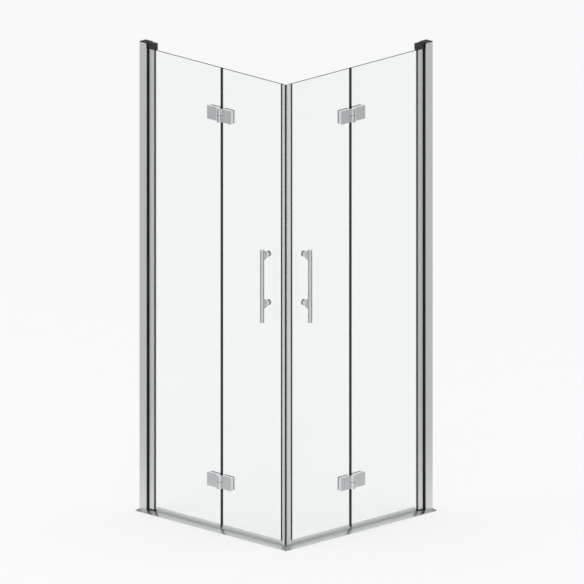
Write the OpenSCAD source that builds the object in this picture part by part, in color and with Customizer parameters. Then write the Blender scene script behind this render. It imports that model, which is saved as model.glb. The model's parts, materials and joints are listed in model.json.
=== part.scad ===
// Corner-entry bifold shower door.
// Two mirrored doors close a square corner of a shower. Each door hangs on a wall profile by a
// pivoting stile, swings in and out, and folds outward at a pair of glass-to-glass hinges.
//
// Each door is drawn once, in its own frame: x runs from the wall along the door, y points into
// the shower, z points up and the glass lies in the plane y = 0. left() and right() set it in place.

/* [Enclosure] */

// Height from the shower tray to the top of the wall profiles
total_h = 1920; // [1850:10:2000]
// Distance from each wall to the glass plane of the opposite door
side_w = 800; // [780:10:900]
// Thickness of the safety glass
glass_t = 6; // [5:1:6]
// Height of the glass over the shower tray
lift = 12; // [12:1:15]

/* [Wall profile] */

// How far the wall profile stands out from the wall
wall_d = 38; // [38:1:44]
// Width of the wall profile, across the door
wall_w = 36; // [36:1:40]
// Wall thickness of the extruded profile
wall_t = 1.8; // [1.6:0.1:2]
// Diameter of the wall screw holes
wall_hole_d = 5.5; // [5:0.5:6]
// Distance between the outer pair of wall screws
wall_screws_out = 1680; // [1500:60:1740]
// Distance between the inner pair of wall screws
wall_screws_in = 560; // [420:20:700]

/* [Pivot] */

// Radius of the round nose of the turning stile
nose_r = 9; // [8.8:0.1:9.2]
// Length of the stile past its pivot axis
stile_l = 22; // [22:1:32]
// Diameter of the pivot pins and of the hinge pins
pin_d = 8; // [6:1:8]
// Length of the bearing blocks along the door
block_l = 40; // [38:1:56]
// Width of the bearing blocks
block_w = 21; // [21:1:26]
// Height of the top bearing block
block_h = 25; // [22:1:30]

/* [Fold] */

// Distance from the wall to the fold line
fold_x = 445; // [430:5:460]
// Gap between the two panes
fold_gap = 5; // [5:0.5:6]
// Distance of the fold axis in front of the glass plane
fold_out = 18; // [18:0.5:20]
// Radius of the hinge barrel
barrel_r = 11; // [10:0.5:11]
// Height of a hinge
hinge_h = 55; // [45:5:70]
// Height of the lower hinge's middle
hinge_low = 202; // [150:2:300]
// Height of the upper hinge's middle
hinge_high = 1704; // [1500:4:1720]
// Reach of the wall-side hinge plate from the fold line
wall_leaf_l = 72; // [66:1:80]
// Reach of the door-side hinge plate from the fold line
door_leaf_l = 65; // [62:1:80]
// Thickness of the outer hinge plates
plate_t = 12; // [10:1:12]
// Thickness of the inner clamping plates
clamp_t = 7; // [6:1:8]

/* [Handle] */

// Diameter of the handle bar
bar_d = 19; // [18:1:22]
// Length of the handle bar
bar_l = 299; // [280:1:340]
// Height of the bar's lower end
bar_z = 908; // [850:2:950]
// Distance of the bar's axis in front of the glass plane
bar_out = 36; // [36:1:42]
// Distance from the wall to the handle
bar_x = 702; // [680:2:720]
// Height of the lower handle post
post_low = 985; // [975:5:1000]
// Distance between the two handle posts
post_gap = 199; // [190:1:200]

/* [Seals and threshold] */

// Room between a door's free end and the opposite glass plane
corner_gap = 5.2; // [5.2:0.1:8]
// Width of the left door's corner seal
seal_left = 12; // [11:0.2:24]
// Width of the right door's corner seal
seal_right = 17.6; // [11:0.2:24]
// Reach of the threshold in front of the glass plane
sill_out = 42; // [38:1:46]
// Reach of the threshold behind the glass plane
sill_in = 18; // [17:1:22]
// Height of the threshold
sill_h = 8; // [7:0.5:8]

/* [Hidden] */

// Steps round a circle: on shapes that show, at the plates' corners, and on pins, screws and holes
round_n = 24;
corner_n = 16;
hole_n = 14;

half_t = glass_t / 2;
// How far the handle reaches out, which is also the far side of the opposite door
reach = bar_out + bar_d / 2;
// Outer size of the square corner
span = side_w + reach;
// The pivot axis stands just past the end of the wall profile
pivot_x = wall_d + nose_r + 1;
// The stile is a little thinner than its round nose
stile_hw = nose_r - 0.4;
stile_end = pivot_x + stile_l;
bush_r = pin_d / 2 + 1.5;
running = 0.05;
block_end = wall_d + block_l;
foot_h = lift - 1;
top_z = total_h - block_h - 1;
glass_h = top_z - lift;
pane_gap = fold_gap / 2;
glass_in_x = stile_end - 9.5;
door_end = side_w - corner_gap;
glass_end = door_end - 6.8;
cap_t = 3;
wall_bore = wall_w / 2 - wall_t;
slide_hw = wall_bore - 0.3;
adjust_x = 12;
adjust_end = wall_d - 1;
adjust_screw_x = 24;
adjust_z = [300, total_h / 2, total_h - 300];
wall_z = [for (s = [wall_screws_in, wall_screws_out]) for (k = [-1, 1]) total_h / 2 + k * s / 2];
hinge_z = [hinge_low, hinge_high];
pad_t = 1;
plate_in = half_t + pad_t;
plate_out = plate_in + plate_t;
relief_r = barrel_r + 0.6;
near_x = 8;
split = 0.8;
// Rounding of the outer plates' far corners
plate_r = 5;
hinge_screw = 6;
wall_leaf_screws = [fold_x - 57, fold_x - 27];
door_leaf_screws = [fold_x + 27, fold_x + 51];
post_z = [post_low, post_low + post_gap];
drip_z = sill_h + 0.5;
// Half the thickness of a corner seal
seal_hw = half_t + 1;
// Depth of the fold seal's clip, which the wall-side drip seal stops short of
fold_clip = 5;
wall_drip_end = fold_x - pane_gap - fold_clip - 0.2;

bright = [0.80, 0.82, 0.84];
satin = [0.70, 0.72, 0.74];
steel = [0.62, 0.64, 0.66];
black = [0.10, 0.10, 0.11];
clear = [0.78, 0.90, 0.88, 0.45];
soft = [0.20, 0.20, 0.22];

// ---------------------------------------------------------------- placing

// The left door runs along X, its outside facing -Y
module left() {
    translate([-span / 2, reach - span / 2, 0])
        children();
}

// The right door is the left one mirrored across the corner's diagonal
module right() {
    mirror([1, 1, 0])
        left()
            children();
}

module both() {
    left()
        children();
    right()
        children();
}

// An axis square to the glass, pointing out of the shower, at x and z
module outward(x, z) {
    translate([x, 0, z])
        rotate([90, 0, 0])
            children();
}

// A section drawn in y and z, run along x from x0 to x1
module along(x0, x1) {
    translate([x0, 0, 0])
        rotate([90, 0, 90])
            linear_extrude(x1 - x0)
                children();
}

// A slab between two points
module slab(a, b) {
    translate(a)
        cube(b - a);
}

// ---------------------------------------------------------------- wall profile

// Open C-shaped port for a cover screw, run up the inside of the profile's base
module screw_port(y) {
    translate([4.6, y])
        difference() {
            circle(r = 2.9, $fn = hole_n);
            circle(r = 1.6, $fn = hole_n);
            translate([0, -1])
                square([4, 2]);
        }
}

// U-shaped extrusion: base on the wall, arms towards the door, a trim line along each arm
module wall_section() {
    difference() {
        translate([0, -wall_w / 2])
            square([wall_d, wall_w]);
        translate([2, -wall_bore])
            square([wall_d, 2 * wall_bore]);
        for (s = [-1, 1])
            translate([wall_d - 7, s * wall_w / 2 - 0.4])
                square([1, 0.8]);
    }
    screw_port(11.5);
    screw_port(-11.5);
}

module wall_profile() {
    difference() {
        linear_extrude(total_h - cap_t)
            wall_section();
        for (z = wall_z)
            translate([-1, 0, z])
                rotate([0, 90, 0])
                    cylinder(d = wall_hole_d, h = 4, $fn = hole_n);
        for (z = adjust_z)
            outward(adjust_screw_x, z)
                translate([0, 0, -wall_w / 2 - 1])
                    cylinder(d = 4.2, h = wall_t + 2, $fn = hole_n);
    }
}

// Cover on top of the wall profile, with a tongue that drops behind the adjusting profile
module wall_cap() {
    translate([0, 0, total_h - cap_t])
        intersection() {
            linear_extrude(cap_t)
                polygon([[0, -wall_w / 2], [wall_d - 1, -wall_w / 2], [wall_d, 1 - wall_w / 2],
                    [wall_d, wall_w / 2 - 1], [wall_d - 1, wall_w / 2], [0, wall_w / 2]]);
            along(-1, wall_d + 1)
                polygon([[-wall_w / 2, -1], [wall_w / 2, -1], [wall_w / 2, cap_t - 1],
                    [wall_w / 2 - 1, cap_t], [1 - wall_w / 2, cap_t], [-wall_w / 2, cap_t - 1]]);
        }
    slab([8.2, 0.4 - wall_bore, total_h - cap_t - 12],
        [adjust_x - 0.4, wall_bore - 0.4, total_h - cap_t + 0.5]);
}

// Box extrusion that slides in the wall profile to suit a wall out of true.
// Four ribs guide it and a T-slot in its end carries the pivot seal.
module adjusting_section() {
    hw = slide_hw - 1.1;
    difference() {
        union() {
            translate([adjust_x, -hw])
                square([adjust_end - adjust_x, 2 * hw]);
            for (x = [adjust_x + 1.5, adjust_end - 3.5])
                translate([x, -slide_hw])
                    square([2, 2 * slide_hw]);
        }
        translate([adjust_x + 1.6, 1.6 - hw])
            square([adjust_end - adjust_x - 5.8, 2 * hw - 3.2]);
        translate([adjust_end - 1.2, -2])
            square([2, 4]);
        translate([adjust_end - 2.6, -4])
            square([1.4, 8]);
    }
}

module adjusting_profile() {
    difference() {
        translate([0, 0, foot_h])
            linear_extrude(total_h - block_h - foot_h)
                adjusting_section();
        for (z = adjust_z)
            outward(adjust_screw_x, z)
                translate([0, 0, -wall_w / 2 - 1])
                    cylinder(d = 3.6, h = 8, $fn = hole_n);
    }
}

// Button-head screw with a hexagon socket, which locks the adjusting profile from inside the shower
module adjusting_screw() {
    difference() {
        rotate_extrude($fn = hole_n)
            polygon([[0, -8], [1.75, -8], [1.75, 0], [3.6, 0], [3.6, 1.2], [2.8, 2.2], [0, 2.2]]);
        translate([0, 0, 1.2])
            cylinder(r = 1.4, h = 2, $fn = 6);
    }
}

// Dark strip in the joint between the adjusting profile and the turning stile
module pivot_seal() {
    hw = slide_hw - 1.3;
    translate([0, 0, foot_h])
        linear_extrude(total_h - block_h - foot_h)
            polygon([[adjust_end, -hw], [wall_d + 0.2, -hw], [wall_d + 0.2, -6.5],
                [wall_d + 0.6, -5], [wall_d + 0.6, 5], [wall_d + 0.2, 6.5], [wall_d + 0.2, hw],
                [adjust_end, hw], [adjust_end, 1.8], [adjust_end - 1.4, 1.8],
                [adjust_end - 1.4, 3.8], [adjust_end - 2.4, 3.8], [adjust_end - 2.4, -3.8],
                [adjust_end - 1.4, -3.8], [adjust_end - 1.4, -1.8], [adjust_end, -1.8]]);
}

// ---------------------------------------------------------------- pivot bearings

// Side view of a bearing block of height h whose free upper corner is rounded by r
module block_side(h, r) {
    polygon(concat([[wall_d, 0], [block_end, 0]],
        [for (a = [0:15:90]) [block_end - r + r * cos(a), h - r + r * sin(a)]],
        [[wall_d, h]]));
}

// Moulded block: its free end is rounded in plan and at one upper corner
module block_body(h, r) {
    c = block_w / 2;
    intersection() {
        linear_extrude(h)
            polygon([[wall_d, -c], [block_end - 4, -c], [block_end - 1.2, 2.8 - c],
                [block_end, 6 - c], [block_end, c - 6], [block_end - 1.2, c - 2.8],
                [block_end - 4, c], [wall_d, c]]);
        translate([0, block_w, 0])
            rotate([90, 0, 0])
                linear_extrude(2 * block_w)
                    block_side(h, r);
    }
}

// What holds a block: an arm along the wall profile and a plug in the hollow of the adjusting
// profile. The side that faces the door is at z = 0.
module block_tail(arm_h) {
    plug_hw = slide_hw - 3;
    slab([adjust_x + 2, 0.5 - block_w / 2, 0.2], [wall_d + 1, block_w / 2 - 0.5, arm_h]);
    slab([adjust_x + 2, -plug_hw, -20], [adjust_end - 4.4, plug_hw, 1]);
}

module pin_bore(z0, z1) {
    translate([pivot_x, 0, z0])
        cylinder(d = pin_d + 2 * running, h = z1 - z0, $fn = hole_n);
}

module top_bearing() {
    translate([0, 0, total_h - block_h])
        difference() {
            union() {
                block_body(block_h, 6);
                block_tail(block_h - cap_t - 0.3);
            }
            pin_bore(-1, 17);
        }
}

module bottom_bearing() {
    difference() {
        union() {
            block_body(foot_h, 2);
            translate([0, 0, foot_h])
                mirror([0, 0, 1])
                    block_tail(foot_h - 0.3);
        }
        pin_bore(2, foot_h + 1);
    }
}

// Pivot pin with chamfered ends
module pin(r, z0, z1) {
    translate([0, 0, z0])
        rotate_extrude($fn = hole_n)
            polygon([[0, 0], [r - 0.8, 0], [r, 0.8], [r, z1 - z0 - 0.8], [r - 0.8, z1 - z0],
                [0, z1 - z0]]);
}

module pivot_pin_pair() {
    translate([pivot_x, 0, 0]) {
        pin(pin_d / 2, 2.2, lift + 24);
        pin(pin_d / 2, top_z - 24, total_h - block_h + 16.8);
    }
}

// ---------------------------------------------------------------- turning stile

// Section of the stile: round nose with the bush bore, a chamber and the glass channel
module stile_section() {
    difference() {
        union() {
            translate([pivot_x, 0])
                circle(r = nose_r, $fn = round_n);
            translate([pivot_x, -stile_hw])
                square([stile_l, 2 * stile_hw]);
        }
        translate([pivot_x, 0])
            circle(r = bush_r, $fn = round_n);
        translate([pivot_x + bush_r + 1.8, 2 - stile_hw])
            square([stile_l - bush_r - 14.8, 2 * stile_hw - 4]);
        translate([stile_end - 11, -half_t - 2])
            square([12, glass_t + 4]);
        translate([stile_end - 9, -half_t - 2.8])
            square([2, glass_t + 5.6]);
    }
}

module pivot_profile() {
    translate([0, 0, lift])
        linear_extrude(glass_h)
            stile_section();
}

// Flanged plastic bush in each end of the stile's bore
module pivot_bush() {
    r = pin_d / 2 + running;
    rotate_extrude($fn = hole_n)
        polygon([[r, -0.65], [nose_r - 0.6, -0.65], [nose_r - 0.6, 0], [bush_r - running, 0],
            [bush_r - running, 28], [r, 28]]);
}

module pivot_bush_pair() {
    translate([pivot_x, 0, lift])
        pivot_bush();
    translate([pivot_x, 0, top_z])
        mirror([0, 0, 1])
            pivot_bush();
}

// U-shaped gasket that holds the pane in the stile, with a lip over each channel edge
module glazing_gasket() {
    a = half_t + 1.95;
    translate([stile_end, 0, lift])
        linear_extrude(glass_h)
            polygon([[-10.9, -a], [-8.9, -a], [-8.9, -a - 0.75], [-7.1, -a - 0.75], [-7.1, -a],
                [0.05, -a], [0.05, -a - 1.6], [0.9, -a - 1.2], [1.3, -half_t],
                [-9.5, -half_t], [-9.5, half_t],
                [1.3, half_t], [0.9, a + 1.2], [0.05, a + 1.6], [0.05, a],
                [-7.1, a], [-7.1, a + 0.75], [-8.9, a + 0.75], [-8.9, a], [-10.9, a]]);
}

// ---------------------------------------------------------------- panes

// Rectangle between two points, its corners cut off by c
module cut_corners(a, b, c) {
    polygon([[a.x, a.y + c], [a.x + c, a.y], [b.x - c, a.y], [b.x, a.y + c],
        [b.x, b.y - c], [b.x - c, b.y], [a.x + c, b.y], [a.x, b.y - c]]);
}

// Pane from x0 to x1 with its edges ground all round
module pane(x0, x1) {
    arris = 1;
    intersection() {
        translate([0, 0, lift])
            linear_extrude(glass_h)
                cut_corners([x0, -half_t], [x1, half_t], arris);
        along(x0 - 1, x1 + 1)
            cut_corners([-half_t, lift], [half_t, top_z], arris);
    }
}

// Hole through a pane at x and z
module pane_hole(x, z, d) {
    outward(x, z)
        translate([0, 0, -half_t - 1])
            cylinder(d = d, h = glass_t + 2, $fn = hole_n);
}

module wall_glass() {
    difference() {
        pane(glass_in_x, fold_x - pane_gap);
        for (z = hinge_z)
            for (x = wall_leaf_screws)
                pane_hole(x, z, 14);
    }
}

module door_glass() {
    difference() {
        pane(fold_x + pane_gap, glass_end);
        for (z = hinge_z)
            for (x = door_leaf_screws)
                pane_hole(x, z, 14);
        for (z = post_z)
            pane_hole(bar_x, z, 12);
    }
}

// ---------------------------------------------------------------- fold hinges

// Outer plate in plan, its far end at distance l from the fold line, on the wall side
module plate_plan(l) {
    polygon([[fold_x - l, -plate_in], [fold_x - l, 1.5 - plate_out],
        [fold_x - l + 1.5, -plate_out], [fold_x - near_x, -plate_out],
        [fold_x - near_x, -plate_in]]);
}

// Front view of a plate of half-height h, its far corners rounded by r
module plate_face(l, h, r) {
    translate([fold_x - l + r, -h])
        square([l - r - near_x, 2 * h]);
    translate([fold_x - l, r - h])
        square([l - near_x, 2 * h - 2 * r]);
    for (s = [-1, 1])
        translate([fold_x - l + r, s * (h - r)])
            circle(r = r, $fn = corner_n);
}

// That shape with its thickness from y0 to y1
module plate_slab(l, h, r, y0, y1) {
    translate([0, y1, 0])
        rotate([90, 0, 0])
            linear_extrude(y1 - y0)
                plate_face(l, h, r);
}

// Outer half of a hinge on the wall side: plate, one knuckle below the split, relief above it
module outer_leaf(l, screws) {
    h = hinge_h / 2;
    difference() {
        union() {
            intersection() {
                translate([0, 0, -h])
                    linear_extrude(hinge_h)
                        plate_plan(l);
                plate_slab(l, h, plate_r, -plate_out - 1, 1 - plate_in);
            }
            translate([fold_x, -fold_out, -h])
                cylinder(r = barrel_r, h = h - split, $fn = round_n);
            slab([fold_x - near_x - 4, -plate_out, -h], [fold_x, barrel_r - 1 - fold_out, -split]);
        }
        translate([fold_x, -fold_out, -split])
            cylinder(r = relief_r, h = h + split + 1, $fn = round_n);
        translate([fold_x, -fold_out, -h - 1])
            cylinder(d = pin_d + 2 * running, h = hinge_h, $fn = hole_n);
        for (x = screws)
            outward(x, 0)
                translate([0, 0, plate_in - 1])
                    cylinder(d = hinge_screw, h = plate_t - 1, $fn = hole_n);
    }
}

// Inner clamping plate with countersunk screw holes, its far end at distance l
module clamp_leaf(l, screws) {
    y0 = plate_in;
    y1 = plate_in + clamp_t;
    difference() {
        intersection() {
            translate([0, 0, 1 - hinge_h / 2])
                linear_extrude(hinge_h - 2)
                    polygon([[fold_x - l, y0], [fold_x - near_x, y0], [fold_x - near_x, y1 - 1.5],
                        [fold_x - near_x - 1.5, y1], [fold_x - l + 1.5, y1], [fold_x - l, y1 - 1.5]]);
            plate_slab(l, hinge_h / 2 - 1, plate_r, y0 - 1, y1 + 1);
        }
        for (x = screws)
            outward(x, 0)
                translate([0, 0, -y1]) {
                    translate([0, 0, -0.01])
                        cylinder(r1 = 6.2, r2 = 3.3, h = 3.3, $fn = hole_n);
                    cylinder(r = 3.3, h = clamp_t + 1, $fn = hole_n);
                }
    }
}

// Soft pad of half-height h from y0 to y1, its far corners cut off inside the plate's rounding
module pad(l, h, y0, y1) {
    c = plate_r / 2;
    translate([0, y1, 0])
        rotate([90, 0, 0])
            linear_extrude(y1 - y0)
                polygon([[fold_x - l, c - h], [fold_x - l + c, -h], [fold_x - near_x, -h],
                    [fold_x - near_x, h], [fold_x - l + c, h], [fold_x - l, h - c]]);
}

// Pads either side of the pane, under the plates, with a window round the screws
module pad_pair(l, screws) {
    h = hinge_h / 2;
    w = 4.5;
    difference() {
        union() {
            pad(l - 0.8, h - 0.8, -plate_in, -half_t);
            pad(l - 2.8, h - 1.8, half_t, plate_in);
        }
        slab([min(screws) - w, -plate_in - 1, -w], [max(screws) + w, plate_in + 1, w]);
    }
}

// Countersunk screw with a hexagon socket, from the clamping plate into the outer plate
module plate_screw() {
    y1 = plate_in + clamp_t;
    difference() {
        translate([0, 0, -y1])
            rotate_extrude($fn = hole_n)
                polygon([[0, 0], [6, 0], [2.9, 3.1], [2.9, y1 + plate_in + plate_t - 3.5],
                    [0, y1 + plate_in + plate_t - 3.5]]);
        translate([0, 0, -y1 - 1])
            cylinder(r = 2.3, h = 3.6, $fn = 6);
    }
}

module at_hinges() {
    for (z = hinge_z)
        translate([0, 0, z])
            children();
}

// The door side of a hinge is the wall side turned end for end about the hinge's middle
module door_side() {
    translate([2 * fold_x, 0, 0])
        rotate([0, 180, 0])
            children();
}

// Screw places of the door side, as seen from the wall side
door_screws_turned = [for (x = door_leaf_screws) 2 * fold_x - x];

module wall_hinge_leaves() {
    at_hinges()
        outer_leaf(wall_leaf_l, wall_leaf_screws);
}

module door_hinge_leaves() {
    at_hinges()
        door_side()
            outer_leaf(door_leaf_l, door_screws_turned);
}

module wall_hinge_clamps() {
    at_hinges()
        clamp_leaf(wall_leaf_l - 2, wall_leaf_screws);
}

module door_hinge_clamps() {
    at_hinges()
        door_side()
            clamp_leaf(door_leaf_l - 2, door_screws_turned);
}

module wall_hinge_gaskets() {
    at_hinges()
        pad_pair(wall_leaf_l, wall_leaf_screws);
}

module door_hinge_gaskets() {
    at_hinges()
        door_side()
            pad_pair(door_leaf_l, door_screws_turned);
}

module wall_hinge_screws() {
    at_hinges()
        for (x = wall_leaf_screws)
            outward(x, 0)
                plate_screw();
}

module door_hinge_screws() {
    at_hinges()
        for (x = door_leaf_screws)
            outward(x, 0)
                plate_screw();
}

// Each pin is fixed in the lower knuckle and the upper knuckle turns on it
module hinge_pins() {
    at_hinges()
        translate([fold_x, -fold_out, 0])
            pin(pin_d / 2, 0.6 - hinge_h / 2, hinge_h / 2 - 0.6);
}

// Thrust washer that fills the split between the knuckles
module hinge_washers() {
    at_hinges()
        translate([fold_x, -fold_out, 0.08 - split])
            difference() {
                cylinder(r = barrel_r - 0.5, h = 2 * split - 0.08, $fn = round_n);
                translate([0, 0, -1])
                    cylinder(r = pin_d / 2 + 0.3, h = 4, $fn = hole_n);
            }
}

// ---------------------------------------------------------------- seals

// Clip-on seal on the edge of the wall-side pane, its bulb in the gap of the fold
module fold_seal() {
    e = fold_x - pane_gap;
    c = e - fold_clip;
    translate([0, 0, lift])
        linear_extrude(glass_h)
            polygon([[c, -half_t], [c, -half_t - 0.5], [c + 0.8, -half_t - 0.9],
                [e + 0.6, -half_t - 0.9], [e + 1.4, -2.4], [e + fold_gap - 0.9, -1.6],
                [e + fold_gap - 0.4, -0.6], [e + fold_gap - 0.4, 0.6],
                [e + fold_gap - 0.9, 1.6], [e + 1.4, 2.4], [e + 0.6, half_t + 0.9],
                [c + 0.8, half_t + 0.9], [c, half_t + 0.5], [c, half_t],
                [e + 0.05, half_t], [e + 0.05, -half_t]]);
}

// Seal under a pane from x0 to x1: clip round the glass, slanted lips just over the threshold
module drip_seal(x0, x1) {
    a = half_t + 1.2;
    along(x0, x1)
        polygon([[-half_t, lift], [-half_t, lift + 12], [-a + 0.3, lift + 12],
            [-a, lift + 11], [-a, lift - 1.4], [-a - 2.8, drip_z], [-a - 1.8, drip_z],
            [1.2 - a, lift - 1.5], [-0.5, lift - 1.5], [-0.3, drip_z + 0.4],
            [0.3, drip_z + 0.4], [0.5, lift - 1.5], [a - 1.2, lift - 1.5],
            [a + 1.8, drip_z], [a + 2.8, drip_z], [a, lift - 1.4], [a, lift + 11],
            [a - 0.3, lift + 12], [half_t, lift + 12], [half_t, lift]]);
}

// Soft lip on the glass along the free edge of a corner seal's clip, at x0
module clip_lip(x0) {
    polygon([[x0 + 0.5, half_t], [x0 + 0.5, half_t + 0.5], [x0, half_t + 0.5],
        [x0 - 0.8, half_t + 0.8], [x0 - 2.4, half_t + 0.7], [x0 - 5, half_t + 0.2],
        [x0 - 5, half_t]]);
}

// Magnetic seal of width w on a door's free end, with soft lips moulded on it: clip round the glass
// edge and a box for the magnet. The lip on its end just clears the opposite door and starts at y0.
module corner_seal(w, y0) {
    a = seal_hw;
    x0 = door_end - w;
    x1 = door_end + corner_gap - a - 0.3;
    z0 = lift + 12.4;
    translate([0, 0, drip_z + 0.5])
        linear_extrude(top_z - drip_z - 0.5)
            difference() {
                polygon([[x0, 0.5 - a], [x0 + 0.5, -a], [door_end - 0.8, -a],
                    [door_end, 0.8 - a], [door_end, y0], [x1, y0 + 0.4], [x1, a],
                    [door_end, a - 0.8], [door_end - 0.8, a], [x0 + 0.5, a], [x0, a - 0.5]]);
                translate([x0 - 1, -half_t])
                    square([glass_end - x0 + 1.1, glass_t]);
                translate([door_end - 5.2, -2.2])
                    square([3.8, 4.4]);
            }
    translate([0, 0, z0])
        linear_extrude(top_z - z0) {
            clip_lip(x0);
            mirror([0, 1, 0])
                clip_lip(x0);
        }
}

// ---------------------------------------------------------------- handle

// Bar with rounded ends and two blind holes in its back for the post studs
module handle_bar() {
    r = bar_d / 2;
    c = 1.5;
    difference() {
        translate([bar_x, -bar_out, bar_z])
            rotate_extrude($fn = round_n)
                polygon(concat([[0, 0]],
                    [for (a = [0:30:90]) [r - c + c * sin(a), c - c * cos(a)]],
                    [for (a = [90:-30:0]) [r - c + c * sin(a), bar_l - c + c * cos(a)]],
                    [[0, bar_l]]));
        for (z = post_z)
            outward(bar_x, z)
                translate([0, 0, bar_out - r - 2])
                    cylinder(d = pin_d + 2 * running, h = r + 1, $fn = hole_n);
    }
}

// Standoff: a round foot on the glass and a fin that widens up and down to the bar's back
module handle_post() {
    n1 = bar_out - 5;
    difference() {
        union() {
            translate([0, 0, half_t])
                cylinder(r1 = 10.6, r2 = 10, h = 2.5, $fn = round_n);
            intersection() {
                rotate_extrude($fn = round_n)
                    polygon([[0, half_t + 1], [9.4, half_t + 1], [22, n1], [0, n1]]);
                slab([-8.4, -30, 0], [8.4, 30, n1 + 1]);
            }
        }
        translate([0, -40, bar_out])
            rotate([-90, 0, 0])
                cylinder(d = bar_d + 0.1, h = 80, $fn = round_n);
        translate([0, 0, -1])
            cylinder(d = pin_d + 2 * running, h = n1 + 2, $fn = hole_n);
    }
}

module handle_posts() {
    for (z = post_z)
        outward(bar_x, z)
            handle_post();
}

// Knob on the inside of the pane, in one piece with the stud that runs into the bar
module handle_fixing() {
    rotate_extrude($fn = round_n)
        polygon([[0, -half_t - 7], [8.5, -half_t - 7], [10.2, -half_t - 6.3],
            [11, -half_t - 5], [11, -half_t - 1], [10.4, -half_t], [pin_d / 2, -half_t],
            [pin_d / 2, bar_out - 4], [0, bar_out - 4]]);
}

module handle_fixings() {
    for (z = post_z)
        outward(bar_x, z)
            handle_fixing();
}

// ---------------------------------------------------------------- threshold

// Top of the sloping threshold at a distance y1 from the glass plane, in front of it
function sill_top(y1) = sill_h - (y1 - 8) * (sill_h - 0.8) / (sill_out - 8);

// Hollow of the threshold in front of the glass plane, reduced by c
module sill_hollow(c) {
    polygon([[c - 27, 1.3 + c], [-2 - c, 1.3 + c], [-2 - c, sill_h - 1.5 - c],
        [-8.3, sill_h - 1.5 - c], [c - 27, sill_top(27) - 1.5 - c]]);
}

module sill_section() {
    difference() {
        polygon([[-sill_out, 0], [-sill_out, 0.8], [-8, sill_h], [8, sill_h],
            [sill_in - 1.2, 1], [sill_in, 0]]);
        sill_hollow(0);
        polygon([[0, 1.3], [10.5, 1.3], [8, sill_h - 1.6], [0, sill_h - 1.5]]);
    }
}

// What lies past the mitre of the corner, less a gap g
module past_mitre(g) {
    translate([0, 0, -1])
        linear_extrude(sill_h + 2)
            polygon([[side_w + 60 - g, -60], [side_w + 200, -60], [side_w + 200, 60],
                [side_w - 60 - g, 60]]);
}

// Threshold from the wall to the mitre, cut round the wall profile and the bottom bearing
module threshold() {
    difference() {
        along(0, side_w + sill_out)
            sill_section();
        past_mitre(0.1);
        slab([-1, -wall_w / 2 - 0.3, -1], [wall_d + 0.3, wall_w / 2 + 5, sill_h + 1]);
        slab([0, -block_w / 2 - 0.3, -1], [block_end + 0.3, block_w / 2 + 0.3, sill_h + 1]);
    }
}

// One leg of the key that joins the two thresholds inside their hollows
module key_leg() {
    difference() {
        along(side_w - 60, side_w + 40)
            sill_hollow(0.15);
        past_mitre(0);
    }
}

// ---------------------------------------------------------------- parts in place

module wall_profile_caps() color(black) both() wall_cap();
module adjusting_screws() color(steel) both() for (z = adjust_z) outward(adjust_screw_x, z)
    translate([0, 0, -wall_w / 2]) rotate([180, 0, 0]) adjusting_screw();
module pivot_pins() color(steel) both() pivot_pin_pair();
module threshold_corner() color(soft) both() key_leg();

module left_wall_profile() color(bright) left() wall_profile();
module left_adjusting_profile() color(satin) left() adjusting_profile();
module left_pivot_seal() color(black) left() pivot_seal();
module left_top_bearing() color(black) left() top_bearing();
module left_bottom_bearing() color(black) left() bottom_bearing();
module left_threshold() color(bright) left() threshold();

module right_wall_profile() color(bright) right() wall_profile();
module right_adjusting_profile() color(satin) right() adjusting_profile();
module right_pivot_seal() color(black) right() pivot_seal();
module right_top_bearing() color(black) right() top_bearing();
module right_bottom_bearing() color(black) right() bottom_bearing();
module right_threshold() color(bright) right() threshold();

module left_pivot_profile() color(bright) left() pivot_profile();
module left_pivot_bushes() color(soft) left() pivot_bush_pair();
module left_glazing_gasket() color(soft) left() glazing_gasket();
module left_wall_glass() color(clear) left() wall_glass();
module left_fold_seal() color(black) left() fold_seal();
module left_wall_drip_seal() color(soft) left() drip_seal(block_end + 3, wall_drip_end);
module left_wall_hinge_leaves() color(bright) left() wall_hinge_leaves();
module left_wall_hinge_clamps() color(bright) left() wall_hinge_clamps();
module left_wall_hinge_gaskets() color(soft) left() wall_hinge_gaskets();
module left_wall_hinge_screws() color(steel) left() wall_hinge_screws();
module left_hinge_pins() color(steel) left() hinge_pins();

module right_pivot_profile() color(bright) right() pivot_profile();
module right_pivot_bushes() color(soft) right() pivot_bush_pair();
module right_glazing_gasket() color(soft) right() glazing_gasket();
module right_wall_glass() color(clear) right() wall_glass();
module right_fold_seal() color(black) right() fold_seal();
module right_wall_drip_seal() color(soft) right() drip_seal(block_end + 3, wall_drip_end);
module right_wall_hinge_leaves() color(bright) right() wall_hinge_leaves();
module right_wall_hinge_clamps() color(bright) right() wall_hinge_clamps();
module right_wall_hinge_gaskets() color(soft) right() wall_hinge_gaskets();
module right_wall_hinge_screws() color(steel) right() wall_hinge_screws();
module right_hinge_pins() color(steel) right() hinge_pins();

module left_door_glass() color(clear) left() door_glass();
module left_door_hinge_leaves() color(bright) left() door_hinge_leaves();
module left_door_hinge_clamps() color(bright) left() door_hinge_clamps();
module left_door_hinge_gaskets() color(soft) left() door_hinge_gaskets();
module left_door_hinge_screws() color(steel) left() door_hinge_screws();
module left_hinge_washers() color(black) left() hinge_washers();
module left_door_drip_seal() color(soft) left() drip_seal(fold_x + 4, door_end - seal_left - 0.4);
module left_corner_seal() color(soft) left() corner_seal(seal_left, 0.8 - seal_hw);
module left_handle_bar() color(bright) left() handle_bar();
module left_handle_posts() color(bright) left() handle_posts();
module left_handle_fixings() color(steel) left() handle_fixings();

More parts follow.
